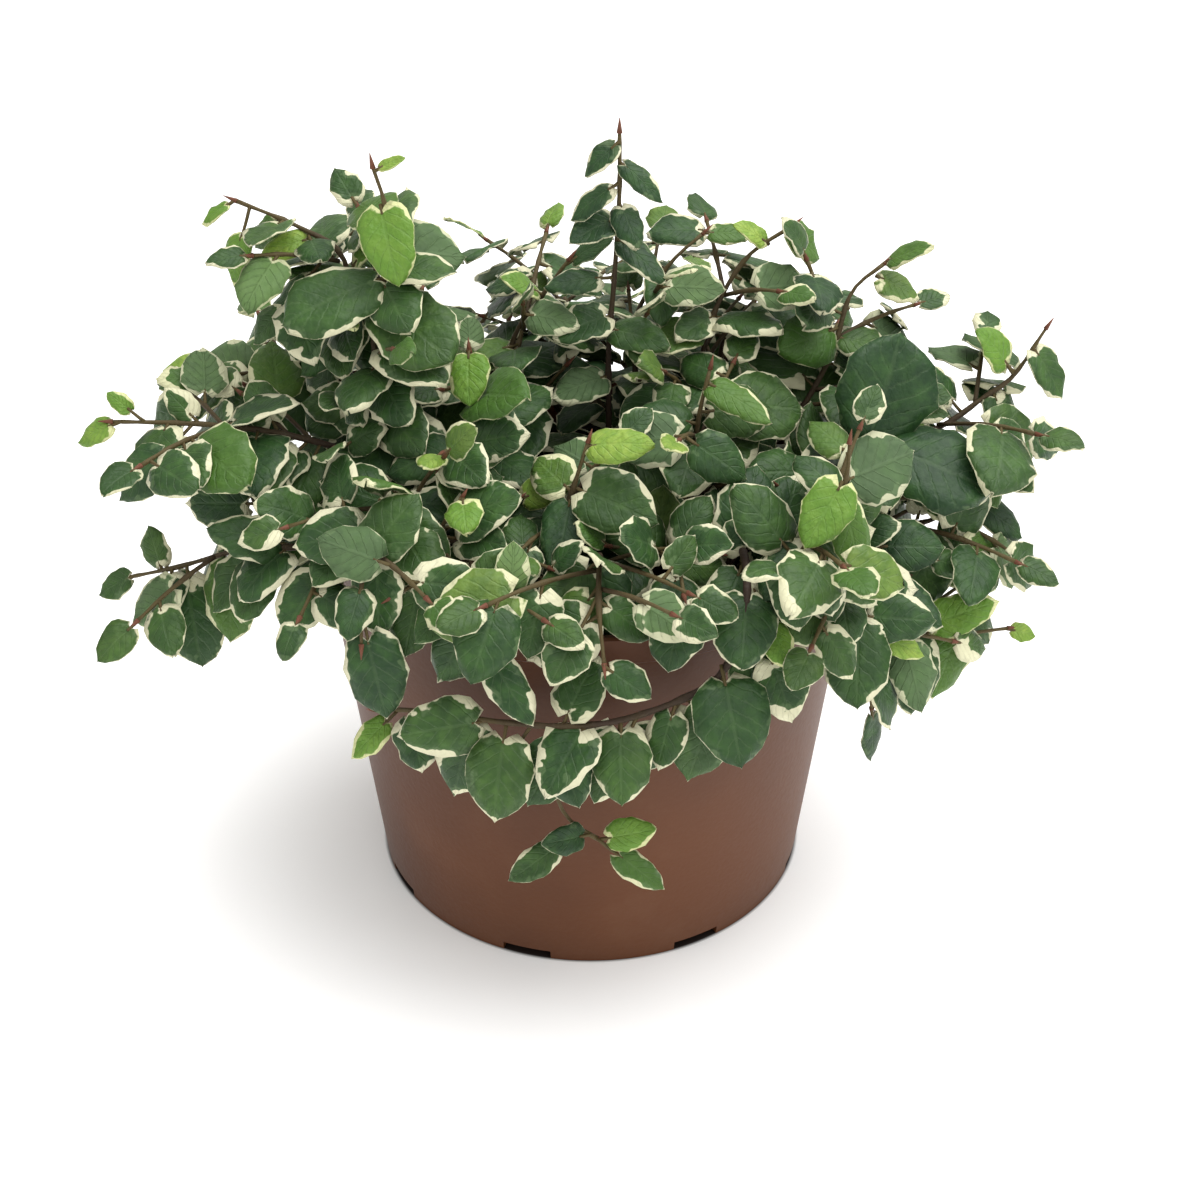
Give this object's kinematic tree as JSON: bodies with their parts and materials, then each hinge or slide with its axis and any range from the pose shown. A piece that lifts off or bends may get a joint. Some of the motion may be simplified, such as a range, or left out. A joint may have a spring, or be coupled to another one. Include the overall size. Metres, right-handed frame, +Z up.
{
  "type": "potted creeping fig",
  "caption": "Potted trailing plant: variegated heart-shaped leaves on thin woody stems that spread over the rim of a tapered plastic nursery pot with notched foot.",
  "frame": {"origin": "on the ground plane under the middle of the plant's overall box, on the pot's axis", "axes": "+Z up along the pot's axis, -Y towards the front where the longest stem trails over the rim, +X to the right as seen from the front"},
  "size_m": [0.2045, 0.1617, 0.171],
  "materials": {
    "pot_plastic": "smooth terracotta-coloured moulded plastic with a soft sheen",
    "soil": "dark moist potting mix",
    "foliage": "thin leaves with irregular cream margins on brown and olive stems"
  },
  "bodies": {
    "root": {"pot": "pot_plastic", "potting_soil": "soil", "upright_sprig": "foliage", "left_crown_stem": "foliage", "far_left_crown_stem": "foliage", "left_reaching_stem": "foliage", "left_low_stem": "foliage", "left_upper_stem": "foliage", "left_front_stem": "foliage", "mid_left_stem": "foliage", "centre_left_stem": "foliage", "centre_back_stem": "foliage", "centre_front_stem": "foliage", "centre_right_stem": "foliage", "front_left_stem": "foliage", "front_centre_stem": "foliage", "front_right_mid_stem": "foliage", "trailing_stem": "foliage", "cut_stem": "foliage", "front_right_stem": "foliage", "right_hanging_stem": "foliage", "right_low_stem": "foliage", "right_mid_stem": "foliage", "large_leaf_stem": "foliage", "far_right_stem": "foliage", "right_upper_stem": "foliage", "right_crown_stem": "foliage", "right_top_stem": "foliage", "back_stem_1": "foliage", "back_stem_2": "foliage", "back_stem_3": "foliage", "back_stem_4": "foliage", "back_stem_5": "foliage", "back_stem_6": "foliage"}
  },
  "joints": []
}
